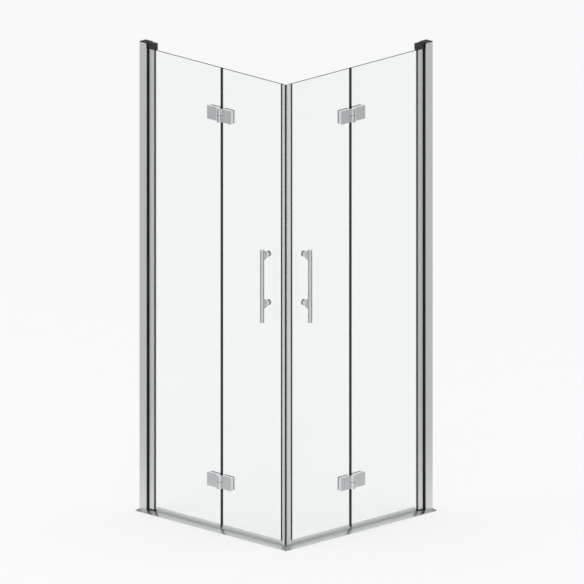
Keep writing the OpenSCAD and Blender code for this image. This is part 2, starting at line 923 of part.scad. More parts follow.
module right_door_glass() color(clear) right() door_glass();
module right_door_hinge_leaves() color(bright) right() door_hinge_leaves();
module right_door_hinge_clamps() color(bright) right() door_hinge_clamps();
module right_door_hinge_gaskets() color(soft) right() door_hinge_gaskets();
module right_door_hinge_screws() color(steel) right() door_hinge_screws();
module right_hinge_washers() color(black) right() hinge_washers();
module right_door_drip_seal() color(soft) right() drip_seal(fold_x + 4, door_end - seal_right - 0.4);
module right_corner_seal() color(soft) right() corner_seal(seal_right, 1.2);
module right_handle_bar() color(bright) right() handle_bar();
module right_handle_posts() color(bright) right() handle_posts();
module right_handle_fixings() color(steel) right() handle_fixings();

wall_profile_caps();
adjusting_screws();
pivot_pins();
threshold_corner();
left_wall_profile();
left_adjusting_profile();
left_pivot_seal();
left_top_bearing();
left_bottom_bearing();
left_threshold();
right_wall_profile();
right_adjusting_profile();
right_pivot_seal();
right_top_bearing();
right_bottom_bearing();
right_threshold();
left_pivot_profile();
left_pivot_bushes();
left_glazing_gasket();
left_wall_glass();
left_fold_seal();
left_wall_drip_seal();
left_wall_hinge_leaves();
left_wall_hinge_clamps();
left_wall_hinge_gaskets();
left_wall_hinge_screws();
left_hinge_pins();
right_pivot_profile();
right_pivot_bushes();
right_glazing_gasket();
right_wall_glass();
right_fold_seal();
right_wall_drip_seal();
right_wall_hinge_leaves();
right_wall_hinge_clamps();
right_wall_hinge_gaskets();
right_wall_hinge_screws();
right_hinge_pins();
left_door_glass();
left_door_hinge_leaves();
left_door_hinge_clamps();
left_door_hinge_gaskets();
left_door_hinge_screws();
left_hinge_washers();
left_door_drip_seal();
left_corner_seal();
left_handle_bar();
left_handle_posts();
left_handle_fixings();
right_door_glass();
right_door_hinge_leaves();
right_door_hinge_clamps();
right_door_hinge_gaskets();
right_door_hinge_screws();
right_hinge_washers();
right_door_drip_seal();
right_corner_seal();
right_handle_bar();
right_handle_posts();
right_handle_fixings();
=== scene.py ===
import json
import math

import bmesh
import bpy
from bpy.props import FloatProperty, FloatVectorProperty, IntProperty, PointerProperty
from mathutils import Matrix, Vector


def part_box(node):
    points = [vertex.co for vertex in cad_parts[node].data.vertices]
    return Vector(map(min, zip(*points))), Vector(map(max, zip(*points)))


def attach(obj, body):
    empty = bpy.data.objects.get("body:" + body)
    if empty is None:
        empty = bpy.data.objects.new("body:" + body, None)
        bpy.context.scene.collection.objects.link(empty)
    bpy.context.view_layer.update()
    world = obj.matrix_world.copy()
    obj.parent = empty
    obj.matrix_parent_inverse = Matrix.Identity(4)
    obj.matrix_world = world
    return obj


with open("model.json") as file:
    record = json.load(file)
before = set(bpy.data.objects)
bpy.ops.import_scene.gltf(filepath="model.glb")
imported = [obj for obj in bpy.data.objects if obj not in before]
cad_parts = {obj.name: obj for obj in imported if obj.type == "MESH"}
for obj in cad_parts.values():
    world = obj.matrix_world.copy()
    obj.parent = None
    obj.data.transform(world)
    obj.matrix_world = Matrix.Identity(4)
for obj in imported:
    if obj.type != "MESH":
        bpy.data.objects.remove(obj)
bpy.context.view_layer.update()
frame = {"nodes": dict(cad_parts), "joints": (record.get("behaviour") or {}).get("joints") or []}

bl_info = {
    "name": "Bifold Shower Door Finishes",
    "version": (1, 0, 0),
    "blender": (4, 5, 0),
    "location": "3D View > Sidebar > Shower Door",
    "description": "Finishes for a corner-entry bifold shower door, with its studio",
    "category": "Object",
}

SIDES = ("left", "right")
MM = 0.001
# Side of the square picture, in pixels
PICTURE_SIZE = 584
# Where the picture shows the middle of the model's footprint, in pixels
FOOTPRINT_PIXEL = (286.1, 510.9)
# Picture pixels per metre across the line of sight
PIXELS_PER_METRE = 253.4

# Rounding of the edges of profiles and of mouldings
PROFILE_ROUND = 0.3 * MM
MOULDING_ROUND = 0.6 * MM
# Edges of the solids that turn by more than this are rounded off
ROUNDED_TURN = math.radians(50)
# Edges of the pieces made here that turn by more than this are shown sharp
SHARP_TURN = math.radians(32)
# Points of a piece that are this close are one point, in metres
WELD_GAP = 1e-6
# Where a pane's surface turns this far away from its face, it shows its ground edge
EDGE_TURN = 0.15
# Height over which the dried film on the glass thins out, in metres
FILM_HEIGHT = 1.2
# Share of the tint that daylight keeps when it passes a pane
PASSED_LIGHT = 0.94
# Painted shade: the thresholds are a darker copy of the uprights' metal, at this share of the
# uprights' tone, so that their tops, which mirror the bright sky, don't look too pale
SILL_SHADE_SHARE = 0.78

# Reach of a corner seal's soft lips past its clip and past its end
CLIP_LIP = 5 * MM
END_LIP = 0.9 * MM
# How far past the seal's own surface its lips turn dark
LIP_EDGE = 0.05 * MM
# Where a corner seal's fins start, past the beginning of its clip lips
FIN_ROOT = 2.6 * MM
# How far the fins end over the drip seal and under the top of the corner seal
FIN_LIFT = 0.6 * MM
FIN_DROP = 0.2 * MM
# Depth of the pin's locking screw below the top of the block
LOCK_DEPTH = 12 * MM

# The floor lies this far under the threshold, so that the two don't share a plane
FLOOR_DROP = 0.2 * MM
# Painted reflection: where a shiny surface mirrors the floor, the floor shows black gaps between
# the soft boxes, which deepen by GAP_GROWTH for each metre from the object's middle, less
# GAP_DELAY, until they are as deep as in the sky
GAP_GROWTH = 0.6
GAP_DELAY = 0.08
# The lamps' side, the places where they stand and the place that they face, in metres
LAMP_SIZE = 3.0
KEY_PLACE = (-1.6, -5.0, 3.4)
FILL_PLACE = (5.0, 1.6, 3.0)
LAMP_TARGET = (0, 0, 0.9)
# Farthest that the camera sees, in metres
CAMERA_REACH = 100


# ------------------------------------------------------------------ sizes and colours

def colour(name, description, default):
    """A colour that the user can change."""
    return FloatVectorProperty(
        name=name, description=description, subtype="COLOR", size=3, min=0, max=1, default=default
    )


def amount(name, description, default, low=0.0, high=1.0):
    """A plain number that the user can change."""
    return FloatProperty(name=name, description=description, default=default, min=low, max=high)


def length(name, description, millimetres):
    """A length that the user can change, stored in metres."""
    return FloatProperty(
        name=name, description=description, default=millimetres * MM, min=0,
        subtype="DISTANCE", unit="LENGTH", precision=4,
    )


class GlassFinish(bpy.types.PropertyGroup):
    """Clear toughened safety glass with ground edges"""

    tint: colour("Tint", "Colour of the clear glass seen through one face", (0.945, 0.978, 0.967))
    edge: colour("Edge", "Colour of the ground edges", (0.018, 0.075, 0.060))
    edge_roughness: amount("Edge roughness", "How matt the ground edges are", 0.30)
    film: amount("Film", "Strength of the faint dried film low on the glass", 0.05)
    ior: amount("Index of refraction", "Bending of light in the glass", 1.5, 1.0, 2.0)


class MetalFinish(bpy.types.PropertyGroup):
    """Anodised extrusions, chrome plate and stainless screws"""

    extrusion: colour("Extrusion", "Colour of the bright anodised profiles", (0.78, 0.79, 0.80))
    slide: colour("Adjusting profile", "Colour of the satin adjusting profiles", (0.50, 0.51, 0.52))
    chrome: colour("Chrome", "Colour of the plated hinges and handles", (0.74, 0.75, 0.765))
    steel: colour("Steel", "Colour of the stainless screws and pins", (0.52, 0.53, 0.54))
    extrusion_roughness: amount("Extrusion roughness", "How satin the profiles are", 0.30)
    chrome_roughness: amount("Chrome roughness", "How satin the plate is", 0.09)
    line_pitch: length("Line pitch", "Spacing of the fine lines along the profiles", 0.9)


class SoftFinish(bpy.types.PropertyGroup):
    """Moulded plastic, rubber and flexible seals"""

    moulding: colour("Moulding", "Colour of the bearing blocks and covers", (0.016, 0.016, 0.018))
    rubber: colour("Rubber", "Colour of the dark seals, lips and fins", (0.013, 0.013, 0.014))
    gasket: colour("Gasket", "Colour of the gaskets under the metal", (0.10, 0.10, 0.105))
    acetal: colour("Bush", "Colour of the plastic bushes", (0.74, 0.73, 0.69))
    seal: colour("Clear seal", "Colour of the milky flexible seals", (0.86, 0.885, 0.885))
    magnet: colour("Magnet", "Colour of the corner seals' magnets", (0.03, 0.029, 0.028))
    seal_roughness: amount("Seal roughness", "How matt the milky seals are", 0.30)
    seal_body: amount("Corner seal body", "How solid the milky corner seals look", 0.62)
    drip_body: amount("Drip seal body", "How solid the clearer drip seals look", 0.28)


class TrimSizes(bpy.types.PropertyGroup):
    """Small pieces that this script adds"""

    ring_width: length("Ring width", "Width of the rings round the handle's feet", 1.0)
    ring_height: length("Ring height", "Height of the rings round the handle's feet", 0.7)
    cap_radius: length("Barrel cap radius", "Radius of the caps on the hinge barrels", 10.2)
    cap_height: length("Barrel cap height", "Height of the caps on the hinge barrels", 1.3)
    grub_radius: length("Grub screw radius", "Radius of the screws that lock the pivot pins", 3.0)
    strip_width: length("Magnet width", "Width of the magnets in the corner seals", 4.0)
    strip_inset: length("Magnet inset", "How far the magnets stop short of the seals' ends", 2.0)
    fin_width: length("Fin width", "Width of the fins beside the corner seals", 6.5)
    edge_round: length("Edge rounding", "Rounding of the metal plates' edges", 0.5)
    turn_steps: IntProperty(
        name="Turn steps", description="Steps round a turned piece", default=48, min=12, max=96
    )


class StudioLook(bpy.types.PropertyGroup):
    """Floor, lamps and camera"""

    floor: colour("Floor", "Colour of the floor", (0.96, 0.96, 0.96))
    floor_size: length("Floor size", "Side of the floor", 60_000)
    floor_glow: amount("Floor white", "How far the floor turns to the picture's white", 0.6)
    daylight: amount("Daylight", "Strength of the light from all round", 0.88)
    contrast: amount("Contrast", "Depth of the dim gaps between the soft boxes", 0.36, 0.0, 0.5)
    key_power: FloatProperty(
        name="Key power", description="Power of the left lamp", default=40, unit="POWER"
    )
    fill_power: FloatProperty(
        name="Fill power", description="Power of the right lamp", default=20, unit="POWER"
    )
    azimuth: FloatProperty(
        name="Azimuth", description="Direction of the camera round the model",
        default=math.radians(45), subtype="ANGLE", unit="ROTATION",
    )
    elevation: FloatProperty(
        name="Elevation", description="Height of the camera over the horizon",
        default=math.asin(0.2689), subtype="ANGLE", unit="ROTATION",
    )
    distance: length("Distance", "Distance of the camera", 7_000)


GROUPS = {
    "door_glass": GlassFinish,
    "door_metal": MetalFinish,
    "door_soft": SoftFinish,
    "door_trim": TrimSizes,
    "door_studio": StudioLook,
}


# ------------------------------------------------------------------ shader maths

def plug(tree, value, target):
    """Links a Signal to a socket, or sets the socket to a plain value."""
    if isinstance(value, Signal):
        tree.links.new(value.socket, target)
    elif isinstance(value, (tuple, list)) and len(value) == 3 and len(target.default_value) == 4:
        target.default_value = (*value, 1.0)
    else:
        target.default_value = value


class Signal:
    """A shader socket that takes part in Python sums."""

    def __init__(self, tree, socket):
        self.tree = tree
        self.socket = socket

    def math(self, operation, *values):
        """Adds a math node for the values and gives its result."""
        node = self.tree.nodes.new("ShaderNodeMath")
        node.operation = operation
        for value, target in zip(values, node.inputs):
            plug(self.tree, value, target)
        return Signal(self.tree, node.outputs[0])

    def __add__(self, other):
        return self.math("ADD", self, other)

    def __sub__(self, other):
        return self.math("SUBTRACT", self, other)

    def __rsub__(self, other):
        return self.math("SUBTRACT", other, self)

    def __mul__(self, other):
        return self.math("MULTIPLY", self, other)

    def __truediv__(self, other):
        return self.math("DIVIDE", self, other)

    def __pow__(self, other):
        return self.math("POWER", self, other)

    def __gt__(self, other):
        return self.math("GREATER_THAN", self, other)

    def __abs__(self):
        return self.math("ABSOLUTE", self)

    __radd__ = __add__
    __rmul__ = __mul__

    def at_least(self, other):
        return self.math("MAXIMUM", self, other)

    def at_most(self, other):
        return self.math("MINIMUM", self, other)


class Finish:
    """A node tree under construction: a material's or the world's."""

    def __init__(self, tree):
        self.tree = tree
        tree.nodes.clear()

    def node(self, kind, settings, sockets, output=0):
        """Adds a node with its settings and its sockets' values or links, and gives one output."""
        made = self.tree.nodes.new(kind)
        for name, value in settings.items():
            if name == "stops":
                for element, (position, level) in zip(made.color_ramp.elements, value):
                    element.position = position
                    element.color = (level, level, level, 1.0)
            else:
                setattr(made, name, value)
        for name, value in sockets.items():
            plug(self.tree, value, made.inputs[name])
        return Signal(self.tree, made.outputs[output])

    def place(self, scale):
        """The place on the piece, in the model's own metres, times a scale for each axis."""
        here = self.node("ShaderNodeTexCoord", {}, {}, "Object")
        return self.node("ShaderNodeVectorMath", {"operation": "MULTIPLY"}, {0: here, 1: scale})

    def facing(self, axis):
        """How far the surface faces along an axis of the piece itself, from -1 to 1."""
        normal = self.node("ShaderNodeTexCoord", {}, {}, "Normal")
        return self.node("ShaderNodeSeparateXYZ", {}, {0: normal}, "XYZ".index(axis))

    def height(self):
        """Height over the shower tray, in metres."""
        here = self.node("ShaderNodeTexCoord", {}, {}, "Object")
        return self.node("ShaderNodeSeparateXYZ", {}, {0: here}, 2)

    def along(self, side):
        """Place along a door, in metres, seen as on the left door."""
        here = self.node("ShaderNodeTexCoord", {}, {}, "Object")
        axis, sign = (0, 1.0) if side == "left" else (1, -1.0)
        return self.node("ShaderNodeSeparateXYZ", {}, {0: here}, axis) * sign

    def noise(self, rates, detail=2.0, roughness=0.5):
        """Noise from 0 to 1, with so many features to a metre along each axis."""
        sockets = {
            "Vector": self.place(rates), "Scale": 1.0, "Detail": detail, "Roughness": roughness,
        }
        return self.node("ShaderNodeTexNoise", {}, sockets)

    def ramp(self, value, low, high):
        """0 below low and 1 above high, straight between them."""
        stops = [(low, 0.0), (high, 1.0)]
        return self.node("ShaderNodeValToRGB", {"stops": stops}, {"Fac": value})

    def blend(self, factor, first, second):
        """A colour between two colours."""
        settings = {"data_type": "RGBA"}
        return self.node("ShaderNodeMix", settings, {0: factor, 6: first, 7: second}, 2)

    def bump(self, height, strength, distance):
        sockets = {"Height": height, "Strength": strength, "Distance": distance}
        return self.node("ShaderNodeBump", {}, sockets)

    def surface(self, **sockets):
        """The main shader, its sockets named with underscores for spaces."""
        named = {name.replace("_", " "): value for name, value in sockets.items()}
        return self.node("ShaderNodeBsdfPrincipled", {}, named)

    def finish(self, shader, kind="ShaderNodeOutputMaterial"):
        output = self.tree.nodes.new(kind)
        plug(self.tree, shader, output.inputs["Surface"])


def new_finish(name):
    """An empty material and the Finish that fills it."""
    material = bpy.data.materials.new(name)
    material.use_nodes = True
    return material, Finish(material.node_tree)


def shade(tone, factor):
    """A colour made lighter or darker."""
    return tuple(min(1.0, channel * factor) for channel in tone)


def even(value):
    """The same number for each axis or each colour channel."""
    return (value, value, value)


def stretched(axis, across, lengthwise):
    """Noise rates that stretch the pattern along an axis."""
    return tuple(lengthwise if name == axis else across for name in "XYZ")


# ------------------------------------------------------------------ finishes

def extrusion_finish(name, tone, roughness, axis, pitch):
    """Anodised aluminium with fine drawing lines along the profile and faint handling marks."""
    material, f = new_finish(name)
    lines = f.noise(stretched(axis, across=1.0 / pitch, lengthwise=1.2), detail=3.0)
    marks = f.noise(stretched("Z", across=7.0, lengthwise=3.0), detail=4.0, roughness=0.6)
    rough = (lines - 0.5) * 0.16 + (marks - 0.5) * 0.10 + roughness
    f.finish(f.surface(
        Base_Color=f.blend(lines, shade(tone, 0.90), shade(tone, 1.08)),
        Metallic=1.0,
        Roughness=rough,
        Normal=f.bump(lines, strength=0.12, distance=0.12 * MM),
    ))
    return material


def chrome_finish(name, tone, roughness):
    """Polished plate with a slight ripple, and fingermarks that dull it in patches."""
    material, f = new_finish(name)
    ripple = f.noise(even(90.0), detail=1.0)
    prints = f.noise(stretched("Z", across=38.0, lengthwise=30.0), detail=5.0, roughness=0.65)
    marks = f.ramp(prints, low=0.48, high=0.72)
    f.finish(f.surface(
        Base_Color=f.blend(marks, tone, shade(tone, 0.93)),
        Metallic=1.0,
        Roughness=marks * 0.13 + roughness,
        Normal=f.bump(ripple, strength=0.03, distance=0.4 * MM),
    ))
    return material


def steel_finish(name, tone):
    """Turned stainless steel: rings of tool marks across the length of a small part."""
    material, f = new_finish(name)
    marks = f.noise(stretched("Z", across=260.0, lengthwise=2400.0))
    f.finish(f.surface(
        Base_Color=f.blend(marks, shade(tone, 0.82), shade(tone, 1.12)),
        Metallic=1.0,
        Roughness=marks * 0.18 + 0.22,
        Normal=f.bump(marks, strength=0.10, distance=0.1 * MM),
    ))
    return material


def moulded_finish(name, tone, roughness, grain=1500.0):
    """Moulded plastic with a fine spark-eroded grain, and a trace of dust on what faces up."""
    material, f = new_finish(name)
    texture = f.noise(even(grain))
    specks = f.ramp(f.noise(even(60.0), detail=4.0), low=0.45, high=0.75)
    dust = f.facing("Z").at_least(0.0) * specks
    # A thin layer of mid-grey dust
    dusty = tuple(0.88 * channel + 0.12 * 0.5 for channel in tone)
    f.finish(f.surface(
        Base_Color=f.blend(dust * 0.6, tone, dusty),
        Roughness=texture * 0.14 + dust * 0.1 + roughness,
        Normal=f.bump(texture, strength=0.22, distance=0.1 * MM),
    ))
    return material


def rubber_finish(name, tone, roughness):
    """Extruded soft rubber: drag lines along the seal and a slightly chalky bloom."""
    material, f = new_finish(name)
    lines = f.noise(stretched("Z", across=1700.0, lengthwise=3.0))
    patches = f.noise(stretched("Z", across=24.0, lengthwise=5.0), detail=4.0, roughness=0.6)
    bloom = f.ramp(patches, low=0.40, high=0.80)
    f.finish(f.surface(
        Base_Color=f.blend(bloom, tone, tuple(channel + 0.012 for channel in tone)),
        Roughness=lines * 0.12 + bloom * 0.10 + roughness,
        Normal=f.bump(lines, strength=0.25, distance=0.15 * MM),
    ))
    return material


def clear_seal_finish(name, look, solid, side=None, clear_part=None):
    """Milky flexible PVC that lets some light through and is a little yellowed in patches. Outside
    clear_part, a range along a door, it is the dark soft rubber of the lips moulded on it."""
    material, f = new_finish(name)
    tone = tuple(look.seal)
    lines = f.noise(stretched("Z", across=1200.0, lengthwise=2.0))
    cloud = f.noise(stretched("Z", across=30.0, lengthwise=6.0), detail=4.0)
    aged = (tone[0], tone[1] * 0.985, tone[2] * 0.93)
    shown, body = f.blend(cloud, tone, aged), cloud * 0.12 + solid
    rough = look.seal_roughness
    if clear_part:
        along = f.along(side)
        lip = 1.0 - (along > clear_part[0]) * (1.0 - (along > clear_part[1]))
        shown, body = f.blend(lip, shown, tuple(look.rubber)), body.at_least(lip)
        rough = lip * 0.2 + rough
    f.finish(f.surface(
        Base_Color=shown,
        Roughness=lines * 0.10 + rough,
        Alpha=body,
        IOR=1.46,
        Normal=f.bump(lines, strength=0.10, distance=0.1 * MM),
    ))
    return material


def glass_finish(name, face_axis, look):
    """Clear glass whose faces look along face_axis. Its ground edges are green and matt."""
    material, f = new_finish(name)
    edge = (1.0 - abs(f.facing(face_axis))) > EDGE_TURN
    grind = f.noise(even(900.0))
    # Water dries on the lower part of the panes most
    high_up = f.ramp(f.height() / FILM_HEIGHT, low=0.05, high=1.0)
    splashes = f.noise(stretched("Z", across=16.0, lengthwise=9.0), detail=5.0, roughness=0.62)
    film = f.ramp(splashes, low=0.52, high=0.80) * (1.0 - high_up * 0.85)
    clear = f.surface(
        Base_Color=tuple(look.tint),
        Roughness=film * look.film,
        Transmission_Weight=1.0,
        IOR=look.ior,
    )
    ground = f.surface(
        Base_Color=f.blend(grind, shade(look.edge, 0.75), shade(look.edge, 1.3)),
        Roughness=grind * 0.15 + look.edge_roughness,
        Specular_IOR_Level=0.2,
        Normal=f.bump(grind, strength=0.2, distance=0.1 * MM),
    )
    shown = f.node("ShaderNodeMixShader", {}, {0: edge, 1: clear, 2: ground})
    # Daylight passes the pane instead of casting a solid shadow
    shadow_ray = f.node("ShaderNodeLightPath", {}, {}, "Is Shadow Ray")
    passed = f.node("ShaderNodeBsdfTransparent", {}, {"Color": shade(look.tint, PASSED_LIGHT)})
    f.finish(f.node("ShaderNodeMixShader", {}, {0: shadow_ray, 1: shown, 2: passed}))
    return material


def dress(names, material):
    """Gives the frame's nodes of these names a material."""
    for name in names:
        for held in frame["nodes"][name].material_slots:
            held.material = material


def on_both(*names):
    """Node names on the left and the right door."""
    return [f"{side}_{name}" for side in SIDES for name in names]


def round_edges(names, width, segments=2):
    """Rounds the sharp edges of nodes, so that they catch the light."""
    for name in names:
        bevel = frame["nodes"][name].modifiers.new("edge_rounding", "BEVEL")
        bevel.width = width
        bevel.segments = segments
        bevel.limit_method = "ANGLE"
        bevel.angle_limit = ROUNDED_TURN
        bevel.harden_normals = True


# ------------------------------------------------------------------ pieces made here

# Each piece is modelled for the left door, which runs along X with its outside facing -Y. The right
# door is the left one mirrored across the corner's diagonal.
CORNER_MIRROR = Matrix(((0, -1, 0, 0), (-1, 0, 0, 0), (0, 0, 1, 0), (0, 0, 0, 1)))
# Turns a piece's own Z axis out of the shower, or into it
OUTWARD = Matrix.Rotation(math.radians(90), 4, "X")
INWARD = Matrix.Rotation(math.radians(-90), 4, "X")


def as_left(side, point):
    """Where a point of a door would be on the left door."""
    return CORNER_MIRROR @ Vector(point) if side == "right" else Vector(point)


def extent(side, node):
    """A node's lowest and highest corners, seen as on the left door."""
    corners = [as_left(side, corner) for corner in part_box(f"{side}_{node}")]
    low, high = (Vector([pick(values) for values in zip(*corners)]) for pick in (min, max))
    return low, high


def joint_axis(side, name):
    """A point on a joint's axis, seen as on the left door."""
    joints = {joint["name"]: joint for joint in frame["joints"]}
    return as_left(side, joints[f"{side}_{name}"]["pos_m"])


def add_piece(side, name, mesh, material, body):
    """Puts a mesh into the scene, on its own side, as a piece that rides on a body."""
    if side == "right":
        mesh.transform(CORNER_MIRROR)
    bmesh.ops.remove_doubles(mesh, verts=mesh.verts, dist=WELD_GAP)
    bmesh.ops.recalc_face_normals(mesh, faces=mesh.faces)
    for edge in mesh.edges:
        edge.smooth = edge.calc_face_angle(0.0) < SHARP_TURN
    for face in mesh.faces:
        face.smooth = True
    data = bpy.data.meshes.new(f"{side}_{name}")
    mesh.to_mesh(data)
    mesh.free()
    data.materials.append(material)
    piece = bpy.data.objects.new(f"{side}_{name}", data)
    bpy.context.scene.collection.objects.link(piece)
    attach(piece, body)


def turn(mesh, profile, steps, placing):
    """Turns a profile of (radius, height) pairs round the Z axis of a placing."""
    rings = []
    for radius, height in profile:
        angles = [2 * math.pi * step / steps for step in range(steps if radius else 1)]
        points = [(radius * math.cos(angle), radius * math.sin(angle), height) for angle in angles]
        rings.append([mesh.verts.new(placing @ Vector(point)) for point in points])
    for first, second in zip(rings, rings[1:]):
        for step in range(steps):
            following = (step + 1) % steps
            corners = [
                first[step % len(first)], first[following % len(first)],
                second[following % len(second)], second[step % len(second)],
            ]
            mesh.faces.new(list(dict.fromkeys(corners)))


def handle_rings(side, trim, material):
    """Soft rings on the pane, round the feet of the handle posts and the knobs inside."""
    low, high = extent(side, "handle_fixings")
    pane_low, pane_high = extent(side, "door_glass")
    foot = (high.x - low.x) / 2
    width, height = trim.ring_width, trim.ring_height
    # Half-round section, most of it outside the post's foot
    inner, outer = foot - width * 0.4, foot + width * 0.6
    section = [
        (inner, 0), (foot + width * 0.5, 0), (outer, height * 0.4),
        (foot + width * 0.3, height * 0.9), (foot, height), (inner, height * 0.8), (inner, 0),
    ]
    mesh = bmesh.new()
    for level in (low.z + foot, high.z - foot):
        for face, direction in ((pane_low.y, OUTWARD), (pane_high.y, INWARD)):
            spot = Matrix.Translation((low.x + foot, face, level))
            turn(mesh, section, trim.turn_steps, spot @ direction)
    add_piece(side, "handle_rings", mesh, material, f"{side}_door_leaf")


def barrel_caps(side, trim, material):
    """Low domed caps that close the hinge barrels. The upper ones turn with the door."""
    axis = joint_axis(side, "fold")
    radius, height = trim.cap_radius, trim.cap_height
    # The dome springs from a straight rim, a third of its height
    rim = height / 3
    dome = [
        (radius * math.sin(angle), rim + (height - rim) * math.cos(angle))
        for angle in (math.radians(step) for step in range(0, 91, 15))
    ] + [(radius, 0), (0, 0)]
    low, high = extent(side, "wall_hinge_leaves")
    # The washer fills the split at a hinge's middle, so half a hinge lies below it
    split, _ = extent(side, "hinge_washers")
    tall = 2 * (split.z - low.z)
    upper = (high.z, low.z + tall), Matrix.Identity(4), "door_leaf"
    lower = (low.z, high.z - tall), Matrix.Rotation(math.pi, 4, "X"), "wall_leaf"
    for end, (levels, flip, body) in (("upper", upper), ("lower", lower)):
        mesh = bmesh.new()
        for level in levels:
            turn(mesh, dome, trim.turn_steps, Matrix.Translation((axis.x, axis.y, level)) @ flip)
        add_piece(side, f"{end}_barrel_caps", mesh, material, f"{side}_{body}")


def run_up(mesh, outline, low, high):
    """Runs a closed outline of (x, y) points up from low to high, with both ends closed."""
    bottom, top = ([mesh.verts.new((x, y, z)) for x, y in outline] for z in (low, high))
    for index in range(len(outline)):
        following = (index + 1) % len(outline)
        mesh.faces.new([bottom[index], bottom[following], top[following], top[index]])
    mesh.faces.new(list(reversed(bottom)))
    mesh.faces.new(top)


def seal_box(side):
    """A corner seal's extent without the soft lips along its clip and on its end."""
    low, high = extent(side, "corner_seal")
    return low + Vector((CLIP_LIP, 0, 0)), high - Vector((END_LIP, 0, 0))


def closing_strip(side, trim, material):
    """Flexible magnet in the box of the corner seal."""
    low, high = seal_box(side)
    middle = (low.y + high.y) / 2
    half, chamfer = trim.strip_width / 2, 0.3 * MM
    # Depths of its back and its front behind the end of the seal
    back, front = 5 * MM, 1.6 * MM
    half_outline = [(back, half), (front + chamfer, half), (front, half - chamfer)]
    outline = half_outline + [(depth, -aside) for depth, aside in reversed(half_outline)]
    mesh = bmesh.new()
    points = [(high.x - depth, middle + aside) for depth, aside in outline]
    run_up(mesh, points, low.z + trim.strip_inset, high.z - trim.strip_inset)
    add_piece(side, "closing_strip", mesh, material, f"{side}_door_leaf")


def wiping_fins(side, trim, material):
    """Soft fins over the lips of the corner seal's clip, one on each face of the pane."""
    low, high = extent(side, "corner_seal")
    pane_low, pane_high = extent(side, "door_glass")
    _, drip_high = extent(side, "door_drip_seal")
    width, root = trim.fin_width, low.x + FIN_ROOT
    # Distances back from the root, each with how far the fin stands off the pane there
    section = [
        (0, 0.05 * MM), (0, 0.9 * MM), (0.25 * width, 0.95 * MM),
        (0.8 * width, 0.6 * MM), (width, 0.3 * MM), (width, 0.05 * MM),
    ]
    mesh = bmesh.new()
    for face, outward in ((pane_low.y, -1), (pane_high.y, 1)):
        points = [(root - back, face + proud * outward) for back, proud in section]
        run_up(mesh, points, drip_high.z + FIN_LIFT, high.z - FIN_DROP)
    add_piece(side, "wiping_fins", mesh, material, f"{side}_door_leaf")


def pin_lock_screw(side, trim, material):
    """Cup-ended screw in the inner face of the top block, which locks the pivot pin."""
    low, high = extent(side, "top_bearing")
    axis = joint_axis(side, "swing")
    radius = trim.grub_radius
    mouth, proud = radius * 0.6, 0.5 * MM
    socket, floor = radius * 0.5, -0.1 * MM
    mesh = bmesh.new()
    spot = Matrix.Translation((axis.x, high.y, high.z - LOCK_DEPTH)) @ INWARD
    rim = [(radius * 0.9, -0.2 * MM), (radius, 0.1 * MM), (radius * 0.86, proud)]
    turn(mesh, [*rim, (mouth, proud), (socket, floor), (0, floor)], trim.turn_steps, spot)
    add_piece(side, "pin_lock_screw", mesh, material, "frame")


# ------------------------------------------------------------------ operators

class DOOR_OT_profiles(bpy.types.Operator):
    """Finish the wall profiles, adjusting profiles, stiles and thresholds"""

    bl_idname = "door.profiles"
    bl_label = "Profiles and thresholds"

    def execute(self, context):
        look = context.scene.door_metal
        rough, pitch = look.extrusion_roughness, look.line_pitch
        tone = tuple(look.extrusion)
        upright = extrusion_finish("bright_upright_extrusion", tone, rough, "Z", pitch)
        dress(on_both("wall_profile", "pivot_profile"), upright)
        for side, axis in zip(SIDES, "XY"):
            # Painted shade: each threshold gets a darker copy of the uprights' metal
            shaded_sill_tone = shade(tone, SILL_SHADE_SHARE)
            sill = extrusion_finish(f"{side}_bright_sill", shaded_sill_tone, rough, axis, pitch)
            dress([f"{side}_threshold"], sill)
        satin = rough + 0.12
        slide = extrusion_finish("satin_slide", tuple(look.slide), satin, "Z", pitch)
        dress(on_both("adjusting_profile"), slide)
        profiles = on_both("wall_profile", "pivot_profile", "threshold")
        round_edges(profiles, PROFILE_ROUND, segments=1)
        return {"FINISHED"}


class DOOR_OT_panes(bpy.types.Operator):
    """Give the panes clear glass with green ground edges"""

    bl_idname = "door.panes"
    bl_label = "Panes"

    def execute(self, context):
        look = context.scene.door_glass
        for side, axis in zip(SIDES, "YX"):
            pane = glass_finish(f"{side}_safety_glass", axis, look)
            dress([f"{side}_wall_glass", f"{side}_door_glass"], pane)
        return {"FINISHED"}


class DOOR_OT_hinges(bpy.types.Operator):
    """Plate the fold hinges and close their barrels with domed caps"""

    bl_idname = "door.hinges"
    bl_label = "Fold hinges"

    def execute(self, context):
        metal, trim = context.scene.door_metal, context.scene.door_trim
        plate = chrome_finish("hinge_plate", tuple(metal.chrome), metal.chrome_roughness)
        leaves = on_both("wall_hinge_leaves", "door_hinge_leaves")
        clamps = on_both("wall_hinge_clamps", "door_hinge_clamps")
        dress(leaves + clamps, plate)
        round_edges(leaves + clamps, trim.edge_round)
        for side in SIDES:
            barrel_caps(side, trim, plate)
        return {"FINISHED"}


class DOOR_OT_handles(bpy.types.Operator):
    """Plate the handles and ring their feet"""

    bl_idname = "door.handles"
    bl_label = "Handles"

    def execute(self, context):
        metal, trim = context.scene.door_metal, context.scene.door_trim
        plate = chrome_finish("handle_plate", tuple(metal.chrome), metal.chrome_roughness)
        dress(on_both("handle_bar", "handle_posts", "handle_fixings"), plate)
        tone = tuple(context.scene.door_soft.gasket)
        gasket = rubber_finish("ring_rubber", tone, roughness=0.5)
        for side in SIDES:
            handle_rings(side, trim, gasket)
        return {"FINISHED"}


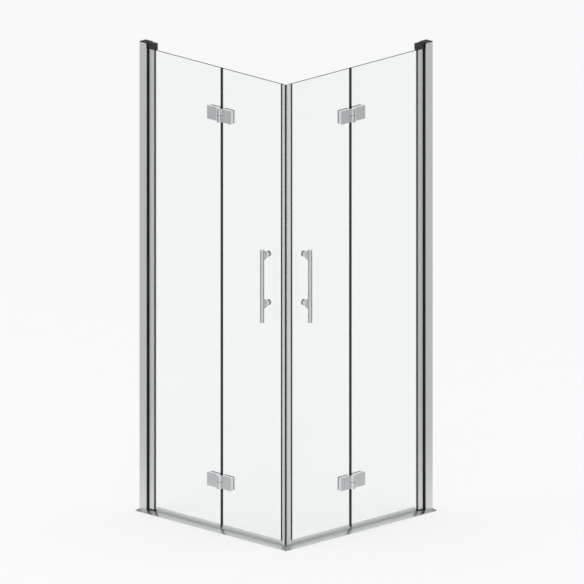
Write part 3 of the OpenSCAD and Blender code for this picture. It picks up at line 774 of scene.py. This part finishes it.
class DOOR_OT_fasteners(bpy.types.Operator):
    """Finish the screws and pins, and add the screws that lock the pivot pins"""

    bl_idname = "door.fasteners"
    bl_label = "Screws and pins"

    def execute(self, context):
        steel = steel_finish("turned_steel", tuple(context.scene.door_metal.steel))
        screws = on_both("wall_hinge_screws", "door_hinge_screws", "hinge_pins")
        dress(["adjusting_screws", "pivot_pins", *screws], steel)
        for side in SIDES:
            pin_lock_screw(side, context.scene.door_trim, steel)
        return {"FINISHED"}


class DOOR_OT_mouldings(bpy.types.Operator):
    """Finish the bearing blocks, covers, bushes and washers"""

    bl_idname = "door.mouldings"
    bl_label = "Mouldings"

    def execute(self, context):
        look = context.scene.door_soft
        black = moulded_finish("black_moulding", tuple(look.moulding), roughness=0.42)
        blocks = on_both("top_bearing", "bottom_bearing")
        dress(["wall_profile_caps", "threshold_corner", *blocks, *on_both("hinge_washers")], black)
        white = moulded_finish("acetal_bush", tuple(look.acetal), roughness=0.35)
        dress(on_both("pivot_bushes"), white)
        round_edges([*blocks, "wall_profile_caps"], MOULDING_ROUND)
        return {"FINISHED"}


class DOOR_OT_seals(bpy.types.Operator):
    """Finish the seals and gaskets, and add the magnets and fins of the corner seals"""

    bl_idname = "door.seals"
    bl_label = "Seals"

    def execute(self, context):
        look, trim = context.scene.door_soft, context.scene.door_trim
        dark = rubber_finish("dark_seal_rubber", tuple(look.rubber), roughness=0.50)
        dress(on_both("pivot_seal", "fold_seal"), dark)
        grey = rubber_finish("gasket_rubber", tuple(look.gasket), roughness=0.55)
        pads = on_both("glazing_gasket", "wall_hinge_gaskets", "door_hinge_gaskets")
        dress(pads, grey)
        clear = clear_seal_finish("drip_seal_vinyl", look, look.drip_body)
        dress(on_both("wall_drip_seal", "door_drip_seal"), clear)
        magnet = moulded_finish("flexible_magnet", tuple(look.magnet), roughness=0.6)
        for side in SIDES:
            low, high = seal_box(side)
            clear_part = low.x - LIP_EDGE, high.x + LIP_EDGE
            name = f"{side}_corner_seal_vinyl"
            seal = clear_seal_finish(name, look, look.seal_body, side, clear_part)
            dress([f"{side}_corner_seal"], seal)
            closing_strip(side, trim, magnet)
            wiping_fins(side, trim, dark)
        return {"FINISHED"}


def sight_rays(f):
    """Marks the rays that show the background: those straight from the camera or on through glass,
    and those that a shiny surface sends back."""
    camera, shine, through = (
        f.node("ShaderNodeLightPath", {}, {}, f"Is {kind} Ray")
        for kind in ("Camera", "Glossy", "Transmission")
    )
    straight = camera.at_least(through)
    return straight, shine * (1.0 - straight)


def soft_boxes(f, where, contrast):
    """Brightness of the studio towards a place: three broad soft boxes round the object, one of
    them behind the camera, and dimmer gaps between them."""
    x, y = (f.node("ShaderNodeSeparateXYZ", {}, {0: where}, axis) for axis in (0, 1))
    distance = ((x * x + y * y) ** 0.5).at_least(0.001)
    ahead = (x - y) * math.sqrt(0.5) / distance
    # The cosine of three times the angle from the camera's side
    lobes = ahead * ahead * ahead * 4.0 - ahead * 3.0
    return lobes * contrast + (1.0 - contrast), distance


def add_lamp(name, power, place):
    """A square area lamp at a place, turned to the middle of the model."""
    lamp = bpy.data.lights.new(name, "AREA")
    lamp.energy = power
    lamp.size = LAMP_SIZE
    piece = bpy.data.objects.new(name, lamp)
    piece.location = place
    aim = Vector(LAMP_TARGET) - Vector(place)
    piece.rotation_euler = aim.to_track_quat("-Z", "Y").to_euler()
    bpy.context.scene.collection.objects.link(piece)


class DOOR_OT_studio(bpy.types.Operator):
    """Add the pale floor, the soft light and the camera"""

    bl_idname = "door.studio"
    bl_label = "Studio"

    def floor(self, look):
        mesh = bmesh.new()
        half = look.floor_size / 2
        corners = [(-half, -half), (half, -half), (half, half), (-half, half)]
        mesh.faces.new([mesh.verts.new((x, y, -FLOOR_DROP)) for x, y in corners])
        data = bpy.data.meshes.new("studio_floor")
        mesh.to_mesh(data)
        mesh.free()
        material, f = new_finish("studio_floor")
        matt = f.surface(Base_Color=tuple(look.floor), Roughness=0.9, Specular_IOR_Level=0.2)
        white, black = (
            f.node("ShaderNodeEmission", {}, {"Color": even(level), "Strength": 1.0})
            for level in (1.0, 0.0)
        )
        straight, mirrored = sight_rays(f)
        boxes, distance = soft_boxes(f, f.place(even(1.0)), look.contrast)
        fade = (distance * GAP_GROWTH - GAP_DELAY).at_least(0.0).at_most(1.0)
        glow = (straight + mirrored) * look.floor_glow
        lit = f.node("ShaderNodeMixShader", {}, {0: glow, 1: matt, 2: white})
        # Painted reflection: to shiny surfaces the floor turns black in the gaps between the soft
        # boxes, more so farther from the object
        gaps = mirrored * fade * (1.0 - boxes)
        f.finish(f.node("ShaderNodeMixShader", {}, {0: gaps, 1: lit, 2: black}))
        data.materials.append(material)
        floor = bpy.data.objects.new("studio_floor", data)
        bpy.context.scene.collection.objects.link(floor)

    def daylight(self, look):
        world = bpy.data.worlds.new("studio_daylight")
        world.use_nodes = True
        bpy.context.scene.world = world
        f = Finish(world.node_tree)
        straight, mirrored = sight_rays(f)
        direction = f.node("ShaderNodeTexCoord", {}, {}, "Generated")
        boxes, _ = soft_boxes(f, direction, look.contrast)
        level = (
            straight * (1.0 - look.daylight) + mirrored * (boxes - look.daylight) + look.daylight
        )
        tone = f.blend(level, even(0.0), even(1.0))
        sky = f.node("ShaderNodeBackground", {}, {"Color": tone, "Strength": 1.0})
        f.finish(sky, "ShaderNodeOutputWorld")

    def camera(self, look):
        data = bpy.data.cameras.new("picture_camera")
        data.type = "ORTHO"
        data.ortho_scale = PICTURE_SIZE / PIXELS_PER_METRE
        data.clip_end = CAMERA_REACH
        around, rise = look.azimuth, look.elevation
        aside = math.cos(rise)
        back = Vector((math.sin(around) * aside, -math.cos(around) * aside, math.sin(rise)))
        right = Vector((math.cos(around), math.sin(around), 0))
        up = back.cross(right)
        aim = (
            right * (PICTURE_SIZE / 2 - FOOTPRINT_PIXEL[0]) / PIXELS_PER_METRE
            + up * (FOOTPRINT_PIXEL[1] - PICTURE_SIZE / 2) / PIXELS_PER_METRE
        )
        camera = bpy.data.objects.new("picture_camera", data)
        camera.location = aim + back * look.distance
        camera.rotation_euler = (-back).to_track_quat("-Z", "Y").to_euler()
        bpy.context.scene.collection.objects.link(camera)
        bpy.context.scene.camera = camera

    def execute(self, context):
        look = context.scene.door_studio
        self.floor(look)
        self.daylight(look)
        add_lamp("key_lamp", look.key_power, KEY_PLACE)
        add_lamp("fill_lamp", look.fill_power, FILL_PLACE)
        self.camera(look)
        context.scene.view_settings.view_transform = "Standard"
        return {"FINISHED"}


OPERATORS = (
    DOOR_OT_profiles,
    DOOR_OT_panes,
    DOOR_OT_hinges,
    DOOR_OT_handles,
    DOOR_OT_fasteners,
    DOOR_OT_mouldings,
    DOOR_OT_seals,
    DOOR_OT_studio,
)


class DOOR_PT_panel(bpy.types.Panel):
    """Lists the finishing steps and their settings"""

    bl_idname = "DOOR_PT_panel"
    bl_label = "Bifold shower door"
    bl_space_type = "VIEW_3D"
    bl_region_type = "UI"
    bl_category = "Shower Door"

    def draw(self, context):
        for operator in OPERATORS:
            self.layout.operator(operator.bl_idname)
        for name, group in GROUPS.items():
            box = self.layout.box()
            for setting in group.__annotations__:
                box.prop(getattr(context.scene, name), setting)


def register():
    for group in GROUPS.values():
        bpy.utils.register_class(group)
    for name, group in GROUPS.items():
        setattr(bpy.types.Scene, name, PointerProperty(type=group))
    for operator in OPERATORS:
        bpy.utils.register_class(operator)
    bpy.utils.register_class(DOOR_PT_panel)


def unregister():
    bpy.utils.unregister_class(DOOR_PT_panel)
    for operator in reversed(OPERATORS):
        bpy.utils.unregister_class(operator)
    for name, group in GROUPS.items():
        delattr(bpy.types.Scene, name)
        bpy.utils.unregister_class(group)


def main():
    register()
    for operator in OPERATORS:
        family, action = operator.bl_idname.split(".")
        getattr(getattr(bpy.ops, family), action)()


if __name__ == "__main__":
    main()
